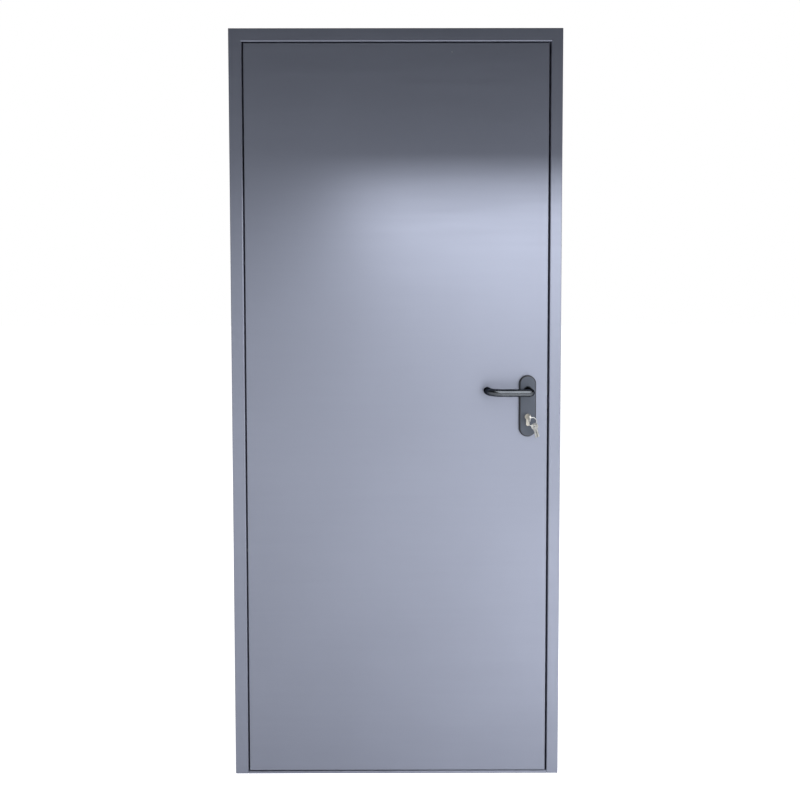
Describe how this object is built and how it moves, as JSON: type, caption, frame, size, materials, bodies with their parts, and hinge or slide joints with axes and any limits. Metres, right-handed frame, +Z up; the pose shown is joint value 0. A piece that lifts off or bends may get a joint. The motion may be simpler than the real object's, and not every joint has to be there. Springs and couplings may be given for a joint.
{
  "type": "flush steel door with frame",
  "caption": "Flush sheet-steel door leaf in a bent steel frame, hinged at the back, with black round-bar levers on long plates, a profile cylinder and a key on a ring.",
  "frame": {"origin": "outer side of the hinge jamb, in the middle of its front return's width, at mid-height", "axes": "+X from the hinge side to the lock side, +Y from the front to the back, +Z up"},
  "size_m": [0.9, 0.184, 2.05],
  "materials": {
    "paint": "satin blue-grey powder coat",
    "hinge_paint": "satin blue-grey powder coat, worn at the knuckles",
    "rubber": "matt black rubber",
    "black": "satin black nylon over steel",
    "zinc": "bright zinc plate",
    "nickel": "satin nickel",
    "key_metal": "nickel plate, scuffed"
  },
  "bodies": {
    "frame": {"hinge_jamb": "paint", "lock_jamb": "paint", "head_rail": "paint", "sill_bar": "paint", "seal_hinge_side": "rubber", "seal_lock_side": "rubber", "seal_head": "rubber", "seal_sill": "rubber", "strike_box": "zinc", "hinge_post_lower": "hinge_paint", "hinge_post_upper": "hinge_paint"},
    "leaf": {"leaf_front_pan": "paint", "leaf_back_pan": "paint", "hinge_cup_lower": "hinge_paint", "hinge_cup_upper": "hinge_paint", "hinge_dogs": "zinc", "mortise_lock": "zinc", "latch_bolt": "zinc", "dead_bolts": "zinc", "front_plate": "black", "back_plate": "black", "front_collar": "black", "back_collar": "black", "cylinder": "nickel", "back_plug": "nickel"},
    "levers": {"front_lever": "black", "back_lever": "black", "spindle": "zinc"},
    "key": {"front_plug": "nickel", "key": "key_metal", "key_ring": "key_metal", "spare_key_left": "key_metal", "spare_key_right": "key_metal"}
  },
  "joints": [
    {"name": "leaf_swing", "type": "hinge", "parent": "frame", "child": "leaf", "pos_m": [0.023, 0.066, 0], "axis": [0, 0, 1], "range_deg": [0, 170]},
    {"name": "lever_turn", "type": "hinge", "parent": "leaf", "child": "levers", "pos_m": [0.808, 0.024, 0.05], "axis": [0, -1, 0], "range_deg": [0, 40], "stiffness_Nm_per_rad": 1.2, "springref_deg": -51.57},
    {"name": "key_turn", "type": "hinge", "parent": "leaf", "child": "key", "pos_m": [0.808, 0, -0.022], "axis": [0, -1, 0], "continuous": true}
  ]
}
